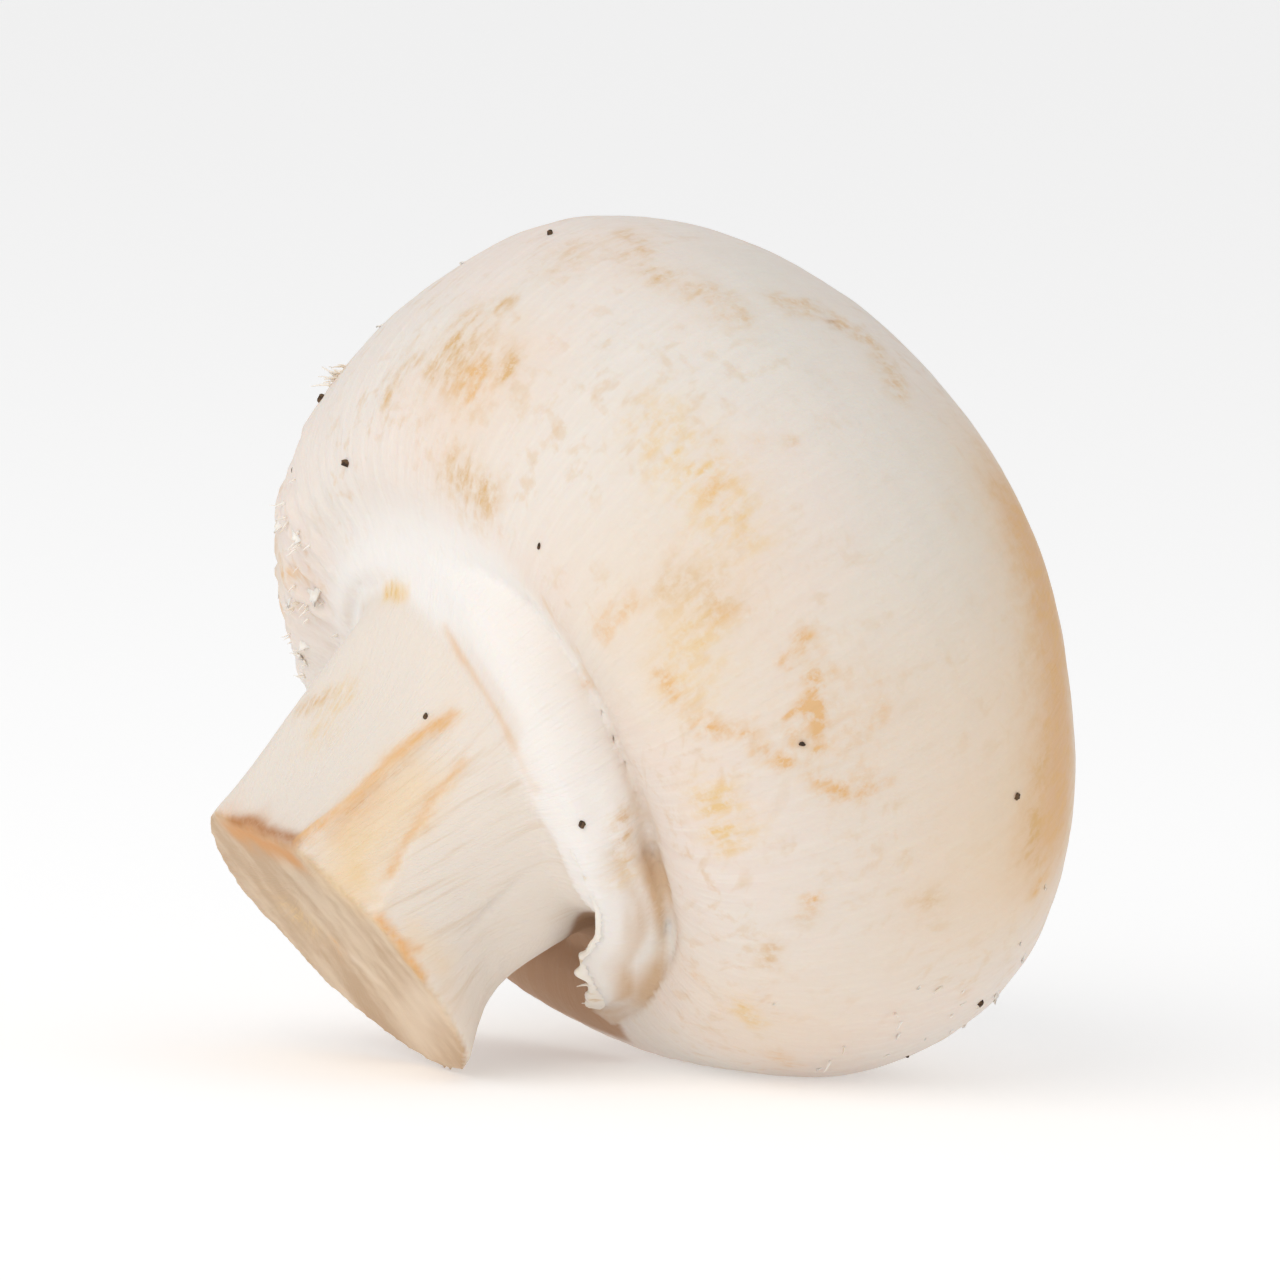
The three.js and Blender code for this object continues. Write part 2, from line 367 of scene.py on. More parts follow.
class Places:
    """Every point of the flesh in the mushroom's own terms."""

    def __init__(self, thing):
        self.point = to_grown(get_points(thing))
        x, y, z = self.point.T
        self.drop = -z
        self.radius = np.hypot(x, y)
        self.side = np.arctan2(y, x)
        self.latitude = np.arctan2(z, self.radius)
        centre_x, centre_y = stem_centre(self.drop)
        self.stem_radius = np.hypot(x - centre_x, y - centre_y)
        self.stem_side = np.arctan2(y - centre_y, x - centre_x)
        self.from_cut = (self.point - CUT_POINT) @ CUT_NORMAL
        self.veil_drop = self.drop - VEIL_SLANT * np.cos(self.side - VEIL_SIDE)

        from_sheet, self.down_sheet = self.from_torn_edge()
        self.torn_edge = 1 - smoothstep(from_sheet, 0.7, 1.0)
        # The fold is the root half of the torn sheet: the relief sinks it, and tan painted shade colours it.
        self.fold = self.torn_edge * (1 - smoothstep(self.down_sheet, 0.4, 0.85))
        self.fold *= smoothstep(np.degrees(self.side), -84, -62)
        here = degrees_apart(self.side, 0)
        torn_side = 1 - smoothstep(np.abs(degrees_apart(self.side, TORN_SIDE)), 72, 80)
        hollow_side = 1 - smoothstep(np.abs(degrees_apart(self.side, HOLLOW_SIDE)), 44, 74)
        under_flap = smoothstep(here, -92, -68) * (1 - smoothstep(here, -20, 0))
        stem_limit = STEM_REACH - 2.2 * torn_side + 1.1 * under_flap
        near_axis = 1 - smoothstep(self.stem_radius - stem_limit, -0.4, 0.4)
        stem_top = STEM_TOP - 2.6 * under_flap * (1 - hollow_side) - hollow_side
        self.stem = smoothstep(self.veil_drop - stem_top, 0, 1) * near_axis * (1 - self.torn_edge)
        # The hollow beside the stem, where the flesh is painted brown as shade.
        reach = HOLLOW_REACH + 4.3 * smoothstep(here, -8, 4)
        in_hollow = hollow_side * (1 - smoothstep(self.radius - reach, -0.6, 0.6))
        in_hollow *= smoothstep(self.drop, 8, 9.5)
        self.hollow = in_hollow * (1 - self.stem) * (1 - self.torn_edge)
        self.veil = np.maximum(self.torn_edge, self.on_veil() * (1 - self.stem) * (1 - self.hollow))
        self.cap = 1 - np.maximum(self.stem, self.veil)
        self.cut = smoothstep(self.from_cut, -0.35, -0.1)
        facet_start = past_ridge(self, FIRST_RIDGE)
        self.facet = smoothstep(-facet_start, -1, 2) * smoothstep(facet_start, -75, -60)

    def on_veil(self):
        """How much of the veil each point has, from 0 on the cap to 1 inside the veil's edge."""
        sides, edges, fades = np.array(VEIL_EDGE).T
        here = np.degrees(self.side)
        edge, fade = (np.interp(here, sides, column, period=360) for column in (edges, fades))
        inside = 1 - smoothstep((self.radius - edge) / fade, -0.5, 0.5)
        return inside * smoothstep(self.drop, 10.5, 12)

    def from_torn_edge(self):
        """Distance in millimetres to the torn edge's sheet, and how far down it, from 0 at its root to 1."""
        sides, *columns = np.array(TORN_EDGE).T
        here = np.degrees(self.side)
        edge = [np.interp(here, sides, column) for column in columns]
        rim, root = np.stack(edge[:2], axis=1), np.stack(edge[2:], axis=1)
        way = rim - root
        offset = np.stack((self.radius, self.drop), axis=1) - root
        along = np.clip((offset * way).sum(axis=1) / (way * way).sum(axis=1), 0, 1)
        past_ends = np.maximum(0, np.maximum(sides[0] - here, here - sides[-1]))
        return np.linalg.norm(offset - way * along[:, None], axis=1) + past_ends * 0.2, along


def set_attribute(thing, name, values):
    attribute = thing.data.attributes.new(name, "FLOAT", "POINT")
    attribute.data.foreach_set("value", np.ascontiguousarray(values, dtype=np.float32))


places = Places(flesh)
for region in ("stem", "facet", "veil", "cut", "hollow"):
    set_attribute(flesh, region, getattr(places, region))
    print(region, "covers", round(float(getattr(places, region).mean()) * 100), "% of the points")

# %% [markdown]
# ## Flesh: relief
# Up close the skin isn't smooth. Fine fibrils run down the cap along the meridians and bunch into wrinkles
# under the margin, the stem is streaked along its length, the veil is a soft cord, and the knife left faint
# marks on the cut. All this is real relief of a few hundredths to a few tenths of a millimetre, and the
# points are moved along their normals.

# %% Random fields
def field(points, offset):
    """Smooth random values from -1 to 1 over a list of points."""
    shift = Vector((offset, offset * 0.7, -offset))
    return np.array([noise.noise(Vector(point) + shift) for point in points])


def fibre_field(side, along, around_cycles, along_scale, offset):
    """Random values drawn out along the axis, as fibres are: finer with more cycles round it."""
    columns = (np.cos(side) * around_cycles, np.sin(side) * around_cycles, along * along_scale)
    return field(np.stack(columns, axis=1), offset)


# %% Relief of each region
SCUFF_SIDE = 128
WRINKLED_SIDE = 125
GROOVED_SIDE = -82
CRACKED_SIDE = -72
# How deep the knife's face is dished in the middle, and how far the veil stands out.
DISH = 0.25
VEIL_RISE = 0.16


def cap_relief(p):
    """Uneven skin with fine fibrils, wrinkled under the margin and scuffed to tatters at one side."""
    low_on_cap = 1 - smoothstep(np.degrees(p.latitude), -10, 50)
    relief = 0.16 * field(p.point / 8, 1) + 0.05 * field(p.point / 2.6, 2)
    fibrils = fibre_field(p.side, p.point[:, 2], 26, 0.13, 3)
    fibrils += 0.6 * fibre_field(p.side, p.drop, 44, 0.3, 4)
    relief += 0.035 * (0.3 + low_on_cap) * fibrils
    under_margin = smoothstep(p.drop, 6, 11) * (1 - smoothstep(p.radius, 20, 24))
    wrinkles = fibre_field(p.side, p.radius, 15, 0.2, 5)
    wrinkles += 0.6 * fibre_field(p.side, p.radius, 32, 0.4, 17)
    near_scuffs = hump(degrees_apart(p.side, WRINKLED_SIDE), 60)
    relief += (0.03 + 0.15 * near_scuffs) * under_margin * wrinkles
    scuffed = hump(degrees_apart(p.side, SCUFF_SIDE), 26) * smoothstep(p.drop, 7, 10.5)
    tatters = np.maximum(0, fibre_field(p.side, p.radius, 24, 0.5, 12) + 0.3 * field(p.point / 0.9, 13))
    return relief + 0.55 * scuffed * tatters


def stem_relief(p):
    """The peeled facet is smooth, the strip beside it is torn and lies lower, and the rest is streaked."""
    first, second = past_ridge(p, FIRST_RIDGE), past_ridge(p, SECOND_RIDGE)
    below_root = smoothstep(p.drop, 18.5, 20.5)
    facet = p.facet * below_root
    torn = smoothstep(first, -1, 1.5) * smoothstep(-second, -1.5, 1.5) * below_root
    streaks = fibre_field(p.stem_side, p.drop, 8, 0.07, 6)
    streaks += 0.7 * fibre_field(p.stem_side, p.drop, 19, 0.14, 7)
    plain = np.maximum(facet, 1 - smoothstep(p.veil_drop, 17.5, 20))
    grooves = np.minimum(0, fibre_field(p.stem_side, p.drop, 15, 0.16, 14) + 0.12)
    grooved = hump(degrees_apart(p.stem_side, GROOVED_SIDE), 24) * hump(p.drop - 22, 3.4)
    shreds = fibre_field(p.stem_side, p.drop, 15, 0.22, 11)
    lips = (0.20 * hump(first + 1, 2.4) + 0.12 * hump(second - 1, 2.6)) * below_root
    relief = 0.045 * streaks * (1 - 0.75 * plain) + 0.5 * grooves * grooved
    return relief + torn * (0.08 * shreds - 0.2) + lips


def sheet_streaks(p):
    """Random values drawn out along the torn edge."""
    run = np.degrees(p.side) / 22
    return field(np.stack((p.down_sheet * 4.5, run, run * 0), axis=1), 15)


def veil_relief(p):
    """A soft cord, a little proud of the cap all along, with a few cracks across it."""
    cracks = np.minimum(0, fibre_field(p.side, p.radius, 20, 0.2, 9) + 0.2)
    cracked = 0.35 * cracks * hump(degrees_apart(p.side, CRACKED_SIDE), 30)
    fibres = fibre_field(p.side, p.radius, 30, 0.4, 16)
    fine = 0.04 * fibres * (1 - p.torn_edge) + 0.12 * sheet_streaks(p) * p.torn_edge
    return VEIL_RISE + 0.08 * field(p.point / 3.0, 8) + fine + cracked - 0.3 * p.fold


def cut_relief(p):
    """The knife's faint marks on a face that sank a little in the middle."""
    across = p.point @ np.cross(CUT_NORMAL, (0.2, 0.9, 0.3))
    marks = field(np.stack((across * 1.1, across * 0, p.point[:, 0] * 0.08), axis=1), 10)
    return 0.06 * marks - DISH * hump(p.stem_radius, 6)


def add_relief(thing, p):
    height = p.cap * cap_relief(p) + p.veil * veil_relief(p)
    height += p.stem * ((1 - p.cut) * stem_relief(p) + p.cut * cut_relief(p))
    points = get_points(thing) + get_normals(thing) * height[:, None] * MM
    points[:, 2] = np.maximum(points[:, 2], 0)
    set_points(thing, points)
    print("relief from", round(float(height.min()), 2), "to", round(float(height.max()), 2), "mm")


add_relief(flesh, places)

# %% [markdown]
# ## Flesh: stains
# Handling bruises a white mushroom: tan smudges where it was rubbed, yellow to orange where the skin broke,
# and brown where it dried. Each stain has a half width in millimetres, a strength and a run: one place for
# a spot, or a chain of places for a scratch. Broad warm and grey casts are kept the same way, and so is the
# tan painted shade in the fold of the torn veil. A broad orange band along the margin from side -100 to -62,
# laid by several casts and stains on one run, is partly real bruising and partly painted warm reflected
# light. These are soft patches; the material breaks up the edges of the stains and leaves the casts smooth.

# %% Where the stains are
# On the cap a place has the side and the latitude.
CAP_STAINS = {
    "warm": [
        (8, 0.5, [(-116, -28)]), (9, 0.6, [(-66, -2)]), (8, 0.5, [(-92, 0)]), (5, 0.4, [(-164, -23)]),
        (6, 0.4, [(-40, -28)]),
    ],
    "grey": [(9, 0.6, [(-126, 11)]), (7, 0.5, [(-150, 14)]), (6, 0.4, [(-104, 8)])],
    "tan": [
        (2.6, 0.5, [(-170, -21)]), (0.5, 0.8, [(-174, -24), (-174, -18)]),
        (0.5, 0.7, [(-161, -21), (-163, -17)]), (0.6, 0.5, [(-176, -16), (-170, -11)]),
        (0.7, 0.5, [(179, -22), (177, -28)]), (1.4, 0.6, [(-161, -34), (-154, -35)]),
        (1.1, 0.45, [(-168, 7), (-160, 2), (-151, 4), (-145, 5)]), (1.8, 0.3, [(-170, -1)]),
        (1.0, 0.45, [(-144, 13), (-142, 18), (-134, 22), (-126, 18)]), (0.6, 0.4, [(-132, -11)]),
        (0.6, 0.35, [(-126, -3)]), (1.5, 0.4, [(-120, -25), (-115, -22)]),
        (0.5, 0.4, [(-92, -19), (-89, -22)]), (0.9, 0.3, [(-66, -26)]), (1.2, 0.4, [(-63, -10)]),
        (0.7, 0.4, [(-60, -30), (-56, -31)]), (0.9, 0.8, [(-65, 8), (-60, 7)]), (1.0, 0.5, [(-72, 12)]),
        # The first run on the next line, broad along the margin, is partly real stain and partly painted
        # warm reflected light.
        (4.6, 0.3, [(-100, 34), (-84, 26), (-66, 17)]), (1.1, 0.6, [(148, -17)]), (2.4, 0.35, [(118, -30)]),
        (2.6, 0.6, [(60, 30)]), (1.2, 0.7, [(66, 34)]), (2.2, 0.5, [(10, 55)]),
    ],
    "orange": [
        (1.5, 0.5, [(-166, -23)]), (0.5, 0.7, [(-165, -24), (-166, -21)]), (1.0, 0.4, [(-127, -14)]),
        (0.5, 0.5, [(-129, -6)]), (0.8, 0.4, [(-121, -36), (-122, -31)]), (0.5, 0.55, [(-117, -44)]),
        (0.7, 0.35, [(-113, -22)]), (0.6, 0.55, [(-110, -33), (-106, -32)]),
        (0.5, 0.6, [(-101, -32), (-99, -29), (-98, -26)]), (0.55, 0.85, [(-94, -26), (-91, -24)]),
        (0.5, 0.85, [(-105, -15), (-101, -17), (-97, -18), (-92, -19)]),
        (0.5, 0.6, [(-104, -18), (-101, -17), (-101, -14)]),
        (0.4, 0.5, [(-98, -18), (-97, -21), (-94, -22)]), (0.45, 0.6, [(-89, -22), (-85, -20), (-83, -16)]),
        (0.4, 0.4, [(-95, -10), (-91, -11)]), (0.4, 0.4, [(-84, -15), (-83, -12)]),
        (3.2, 0.24, [(-94, -17)]), (2.0, 0.2, [(-86, -17)]), (0.55, 0.8, [(-69, -25)]),
        (0.6, 0.35, [(-45, -39)]), (0.6, 0.4, [(-32, -26), (-27, -22)]), (0.9, 0.5, [(-54, 8)]),
        # The first run on the next line, broad along the margin, is partly real stain and partly painted
        # warm reflected light.
        (3.0, 0.5, [(-98, 32), (-84, 25), (-72, 18), (-62, 13)]), (0.6, 0.35, [(-109, 12)]),
        (0.8, 0.5, [(122, -36), (128, -40)]), (0.7, 0.5, [(112, -34)]), (0.5, 0.7, [(40, 5), (48, 2)]),
        (0.8, 0.6, [(12, 57)]),
    ],
    "brown": [(0.6, 0.3, [(-140, 18)]), (0.6, 0.5, [(95, -20), (100, -14)])],
    "yellow": [
        (2.0, 0.5, [(-138, -14), (-133, -14), (-127, -14), (-121, -15)]),
        (2.0, 0.45, [(-113, -27), (-108, -30)]), (1.5, 0.6, [(-90, -34), (-84, -33)]),
        (0.9, 0.5, [(-81, -34)]), (0.8, 0.5, [(-44, -33), (-40, -30)]), (3.0, 0.4, [(120, 25), (110, 15)]),
        (1.8, 0.5, [(170, 50), (160, 45)]),
    ],
    # These two broad runs along the margin are partly real bruising and partly painted warm light reflected
    # onto the rim.
    "straw": [(7.0, 0.55, [(-100, 30), (-80, 21), (-62, 12)])],
    "bruise_and_reflected_light": [(4.0, 0.62, [(-98, 32), (-84, 26), (-72, 19), (-62, 14)])],
}
# On the stem a place has the side round its centre line and the drop.
STEM_STAINS = {
    "ochre": [
        (0.32, 0.7, [(-139, 18.8), (-143, 21.4), (-145, 25.4), (-151, 28.4)]),
        (0.28, 0.45, [(-126, 19.8), (-125, 22.0), (-122, 24.4), (-119, 26.2)]),
        (0.7, 0.3, [(-140, 24.0), (-142, 27.0)]), (0.28, 0.9, [(-113, 28.2), (-102, 27.9), (-87, 27.4)]),
        (0.24, 0.6, [(-102, 27.8), (-95, 27.0)]),
    ],
    "orange": [
        (0.6, 0.45, [(-138, 18.8), (-142, 21.4), (-144, 25.4), (-150, 28.2)]),
        (0.5, 0.35, [(-126, 20.2), (-124, 23.0), (-119, 26.2)]), (0.5, 0.6, [(40, 21), (35, 26)]),
    ],
    "straw": [
        (2.0, 0.65, [(-133, 22.5), (-133, 25), (-131, 28)]), (1.0, 0.5, [(-137, 27), (-122, 28)]),
        (0.9, 0.4, [(-100, 27), (-83, 26)]),
    ],
    "yellow": [
        (0.8, 0.25, [(-134, 26.2), (-124, 28)]), (1.2, 0.35, [(172, 20), (176, 22.5)]),
        (1.4, 0.5, [(95, 20), (90, 26)]),
    ],
    "tan": [(0.6, 0.5, [(166, 20.3), (159, 21.6)])],
}
# On the veil and the cut a place has the side, the distance from the axis and the drop.
OTHER_STAINS = {
    "straw": [(0.6, 0.8, [(166, 11.2, 15.0), (178, 11.2, 15.2)])],
    "yellow": [(0.5, 1.0, [(167, 11.1, 15.0), (174, 11.1, 15.1)]), (0.8, 0.6, [(-70, 12.8, 15.8)])],
    "ochre": [
        (0.4, 0.55, [(-157, 10.8, 16.3), (-133, 10.3, 16.9), (-117, 10.3, 17.3), (-100, 10.4, 17.6)]),
    ],
    # The fold run is painted shade along the crease at the root of the torn veil.
    "fold": [(0.5, 0.5, [(-104, 12.9, 13.4), (-80, 13.1, 13.8), (-66, 13.5, 14.0)])],
    "tan": [(0.9, 0.5, [(-84, 12.9, 15.0), (-72, 12.9, 15.6)])],
    "bruise_and_reflected_light": [(1.1, 1.0, [(116, 5.7, 28.0), (149, 2.9, 28.4), (-177, 2.2, 28.6), (-145, 2.4, 28.7)])],
    "pale": [(1.8, 0.7, [(5, 12, 24.6), (-40, 9.5, 26.8)]), (0.5, 0.75, [(14, 6.4, 26.1), (2, 7.5, 25.9)])],
    "crust": [(0.38, 0.9, [(129, 5.6, 28.3), (142, 4.5, 28.1), (-179, 3.4, 28.4), (-145, 4.0, 28.5)])],
}
CASTS = ("warm", "grey", "fold", "straw", "ochre", "bruise_and_reflected_light", "crust", "pale")
STAIN_KINDS = ("tan", "yellow", "orange", "brown")

# %% Stains on the flesh
# How far, in millimetres, a stain's edge strays in large and in small waves, and the offsets of their noise.
LARGE_STRAY = 0.45
SMALL_STRAY = 0.25
LARGE_OFFSETS = (21, 22, 23)
SMALL_OFFSETS = (24, 25, 26)


def distance_to_run(points, run):
    """How far points are from a chain of straight stretches; a chain of one point is a spot."""
    nearest = np.linalg.norm(points - run[0], axis=1)
    for start, end in zip(run, run[1:]):
        way = end - start
        along = np.clip((points - start) @ way / (way @ way), 0, 1)
        away = points - start - along[:, None] * way
        nearest = np.minimum(nearest, np.linalg.norm(away, axis=1))
    return nearest


def stain_spots(thing):
    """Every stain with its run as points in millimetres on the mushroom's own axes."""
    ways = (
        (CAP_STAINS, lambda *place: to_grown(on_cap(thing, *place)[0])),
        (STEM_STAINS, lambda *place: to_grown(on_stem(thing, *place)[0])),
        (OTHER_STAINS, from_polar),
    )
    for stains, find in ways:
        for kind, marks in stains.items():
            for width, strength, run in marks:
                yield kind, width, strength, [find(*place) for place in run]


def add_stains(thing, p):
    amounts = {kind: np.zeros(len(p.point)) for kind in CASTS + STAIN_KINDS}
    # The fold cast is painted shade in the fold of the torn veil.
    amounts["fold"] = p.fold * np.clip(0.5 + 0.9 * sheet_streaks(p), 0.1, 0.9)
    wobble = np.stack([field(p.point / 1.6, offset) for offset in LARGE_OFFSETS], axis=1) * LARGE_STRAY
    wobble += np.stack([field(p.point / 0.7, offset) for offset in SMALL_OFFSETS], axis=1) * SMALL_STRAY
    for kind, width, strength, spots in stain_spots(thing):
        wander = wobble * min(1, width) if kind in CASTS else wobble
        patch = strength * hump(distance_to_run(p.point + wander, spots), width)
        amounts[kind] = 1 - (1 - amounts[kind]) * (1 - patch)
    for kind, amount in amounts.items():
        set_attribute(thing, kind, amount)
        print(kind, "stains reach", round(float(amount.max()), 2))


add_stains(flesh, Places(flesh))

# %% [markdown]
# ## Flesh: material
# The flesh is a white, slightly see-through tissue, so light scatters inside it and shadows stay warm. Its
# colour is a cream that varies softly, whiter on the veil and tan on the cut, with brown painted shade in
# the hollow beside the stem and tan painted shade in the fold of the torn veil. Fibres too fine for the mesh
# come from noise drawn out along the meridians, which also streaks the stains. The fibre noise is one node
# group, used by the colour and by the bump alike.

# %% Node helpers
def linear(red, green, blue):
    """A colour as a screen shows it, 0 to 255, as the linear values that Blender takes."""
    channels = []
    for value in (red, green, blue):
        value /= 255
        channels.append(value / 12.92 if value <= 0.04045 else ((value + 0.055) / 1.055) ** 2.4)
    return (*channels, 1)


class Graph:
    """Short hand for a node tree: its methods add a node and give back the node or its output socket."""

    def __init__(self, tree):
        self.tree = tree

    def node(self, kind, inputs=None, **settings):
        made = self.tree.nodes.new("ShaderNode" + kind)
        for name, value in settings.items():
            setattr(made, name, value)
        self.fill(made, inputs or {})
        return made

    def fill(self, node, inputs):
        """Gives a node's inputs their values, or links them where the value is a socket."""
        for name, value in inputs.items():
            if isinstance(value, bpy.types.NodeSocket):
                self.tree.links.new(value, node.inputs[name])
            else:
                node.inputs[name].default_value = value

    def attribute(self, name):
        return self.node("Attribute", attribute_name=name).outputs["Fac"]

    def math(self, operation, a, b=0.0, clamp=False):
        return self.node("Math", {0: a, 1: b}, operation=operation, use_clamp=clamp).outputs[0]

    def vector(self, operation, a, b=(0, 0, 0)):
        return self.node("VectorMath", {0: a, 1: b}, operation=operation).outputs[0]

    def noise(self, vector, scale, detail=2.0, roughness=0.5):
        inputs = {"Vector": vector, "Scale": scale, "Detail": detail, "Roughness": roughness}
        return self.node("TexNoise", inputs).outputs["Fac"]

    def ramp(self, value, low, high, to_low=0.0, to_high=1.0):
        inputs = {"Value": value, "From Min": low, "From Max": high, "To Min": to_low, "To Max": to_high}
        return self.node("MapRange", inputs, interpolation_type="SMOOTHSTEP").outputs[0]

    def mix(self, amount, first, second):
        inputs = {"Factor": amount, 6: first, 7: second}
        return self.node("Mix", inputs, data_type="RGBA").outputs[2]


def new_group(name, inputs, outputs):
    tree = bpy.data.node_groups.new(name, "ShaderNodeTree")
    for socket, kind, value in inputs:
        made = tree.interface.new_socket(socket, in_out="INPUT", socket_type=kind)
        made.default_value = value
    for socket, kind in outputs:
        tree.interface.new_socket(socket, in_out="OUTPUT", socket_type=kind)
    return Graph(tree), tree.nodes.new("NodeGroupInput").outputs, tree.nodes.new("NodeGroupOutput")


def use_group(graph, tree, **inputs):
    return graph.node("Group", inputs, node_tree=tree).outputs


# %% Node groups
FIBRE_DEFAULTS = (("Count", 30.0), ("Run", 0.1), ("Detail", 2.0))
FIBRE_SWAY = (1.6, 1.6, 0.5)


def make_axes_group():
    """The mushroom's own frame in millimetres, and the direction round its axis."""
    vectors = [("Point", "NodeSocketVector"), ("Around", "NodeSocketVector")]
    lengths = [("Height", "NodeSocketFloat"), ("Radius", "NodeSocketFloat")]
    graph, _, end = new_group("Mushroom axes", [], vectors + lengths)
    place = graph.node("TexCoord").outputs["Object"]
    frame_of = {"Vector": place, "Location": CAP_CENTRE, "Rotation": AXIS_TURN, "Scale": (MM, MM, MM)}
    point = graph.node("Mapping", frame_of, vector_type="TEXTURE").outputs[0]
    flat = graph.vector("MULTIPLY", point, (1, 1, 0))
    split = graph.node("SeparateXYZ", {0: point}).outputs
    radius = graph.node("VectorMath", {0: flat}, operation="LENGTH").outputs["Value"]
    around = graph.vector("NORMALIZE", flat)
    graph.fill(end, {"Point": point, "Around": around, "Height": split["Z"], "Radius": radius})
    return graph.tree


def make_fibre_group(axes):
    """Noise drawn out along the meridians, with its count round the axis and its run along it."""
    controls = [(name, "NodeSocketFloat", value) for name, value in FIBRE_DEFAULTS]
    graph, inputs, end = new_group("Meridian fibres", controls, [("Value", "NodeSocketFloat")])
    found = use_group(graph, axes)
    scaled = {0: found["Around"], 3: inputs["Count"]}
    round_about = graph.node("VectorMath", scaled, operation="SCALE").outputs[0]
    along = graph.math("MULTIPLY", found["Height"], inputs["Run"])
    outwards = graph.math("MULTIPLY", found["Radius"], inputs["Run"])
    lifted = graph.node("CombineXYZ", {"X": outwards, "Z": along}).outputs[0]
    slow = {"Vector": found["Point"], "Scale": 0.12, "Detail": 1.0}
    sway = graph.vector("MULTIPLY", graph.node("TexNoise", slow).outputs["Color"], FIBRE_SWAY)
    place = graph.vector("ADD", graph.vector("ADD", round_about, lifted), sway)
    drawn = {"Vector": place, "Scale": 1.0, "Detail": inputs["Detail"]}
    graph.fill(end, {"Value": graph.node("TexNoise", drawn).outputs["Fac"]})
    return graph.tree


axes_group = make_axes_group()
fibre_group = make_fibre_group(axes_group)
print("node groups:", [group.name for group in bpy.data.node_groups])

# %% The flesh's colours
CREAM = linear(230, 221, 212)
PINK_CREAM = linear(233, 219, 209)
PALE_FIBRE = linear(239, 233, 225)
VEIL_WHITE = linear(241, 236, 231)
STEM_CREAM = linear(231, 220, 208)
STEM_STREAK = linear(212, 187, 158)
# Brown painted shade for the hollow beside the stem.
HOLLOW_PAINTED_SHADE = linear(182, 145, 115)
CUT_TAN = linear(196, 166, 134)
CUT_PALE = linear(221, 198, 170)
CAST_COLOURS = {
    # The fold colour is painted shade for the fold of the torn veil.
    "warm": linear(230, 208, 182), "grey": linear(222, 216, 206), "fold": linear(206, 172, 134),
    # The bruise colour is a real bruise on the cut and, on the cap's rim, partly painted warm reflected
    # light.
    "straw": linear(236, 208, 168), "ochre": linear(226, 174, 112), "bruise_and_reflected_light": linear(214, 155, 98),
    "crust": linear(176, 116, 60), "pale": linear(234, 214, 190),
}
STAIN_COLOURS = {
    "tan": linear(214, 174, 118), "yellow": linear(230, 196, 138),
    "orange": linear(226, 180, 122), "brown": linear(150, 96, 52),
}


# %% The flesh's material
def new_material(name):
    material = bpy.data.materials.new(name)
    material.use_nodes = True
    return material, Graph(material.node_tree), material.node_tree.nodes["Principled BSDF"]


def flesh_colour(graph, axes, fibres):
    """The skin region by region, then the knife's cut, the broad casts and last the stains."""
    cloud = graph.noise(axes["Point"], 0.09, 3)
    colour = graph.mix(graph.ramp(cloud, 0.38, 0.62), CREAM, PINK_CREAM)
    colour = graph.mix(graph.ramp(fibres, 0.4, 0.7, 0.0, 0.3), colour, PALE_FIBRE)
    rubbed = graph.ramp(graph.noise(axes["Point"], 0.14, 2), 0.42, 0.6, 0.15, 1.0)
    fleck = graph.noise(graph.vector("MULTIPLY", axes["Point"], (1.0, 1.0, 0.5)), 0.9, 3, 0.6)
    flecks = graph.math("MULTIPLY", graph.ramp(fleck, 0.54, 0.74, 0.0, 0.36), rubbed)
    colour = graph.mix(flecks, colour, STAIN_COLOURS["tan"])
    scratch = use_group(graph, fibre_group, Count=14.0, Run=0.9, Detail=4.0)["Value"]
    scratches = graph.math("MULTIPLY", graph.ramp(scratch, 0.55, 0.72, 0.0, 0.34), rubbed)
    colour = graph.mix(scratches, colour, STAIN_COLOURS["tan"])

    streak = use_group(graph, fibre_group, Count=16.0, Run=0.15, Detail=4.0)["Value"]
    streaks = graph.ramp(streak, 0.52, 0.72, 0.0, 0.4)
    streaked = graph.math("SUBTRACT", streaks, graph.attribute("facet"), clamp=True)
    stem = graph.mix(streaked, STEM_CREAM, STEM_STREAK)
    colour = graph.mix(graph.attribute("stem"), colour, stem)
    colour = graph.mix(graph.attribute("veil"), colour, VEIL_WHITE)
    # Painted brown shade in the hollow beside the stem.
    colour = graph.mix(graph.attribute("hollow"), colour, HOLLOW_PAINTED_SHADE)
    colour = cut_colour(graph, axes, colour)
    for cast in CASTS:
        colour = graph.mix(graph.attribute(cast), colour, CAST_COLOURS[cast])
    return stained(graph, colour, axes, fibres)


def cut_colour(graph, axes, colour):
    """Bare flesh, tan with paler bands drawn out across the cut and a fine grain."""
    grain = graph.noise(axes["Point"], 0.9, 4, 0.6)
    drawn_out = graph.noise(graph.vector("MULTIPLY", axes["Point"], (0.07, 0.35, 0.2)), 1.0, 2)
    pale = graph.math("ADD", graph.math("MULTIPLY", grain, 0.25), graph.math("MULTIPLY", drawn_out, 0.75))
    cut = graph.mix(graph.ramp(pale, 0.38, 0.64), CUT_TAN, CUT_PALE)
    return graph.mix(graph.attribute("cut"), colour, cut)


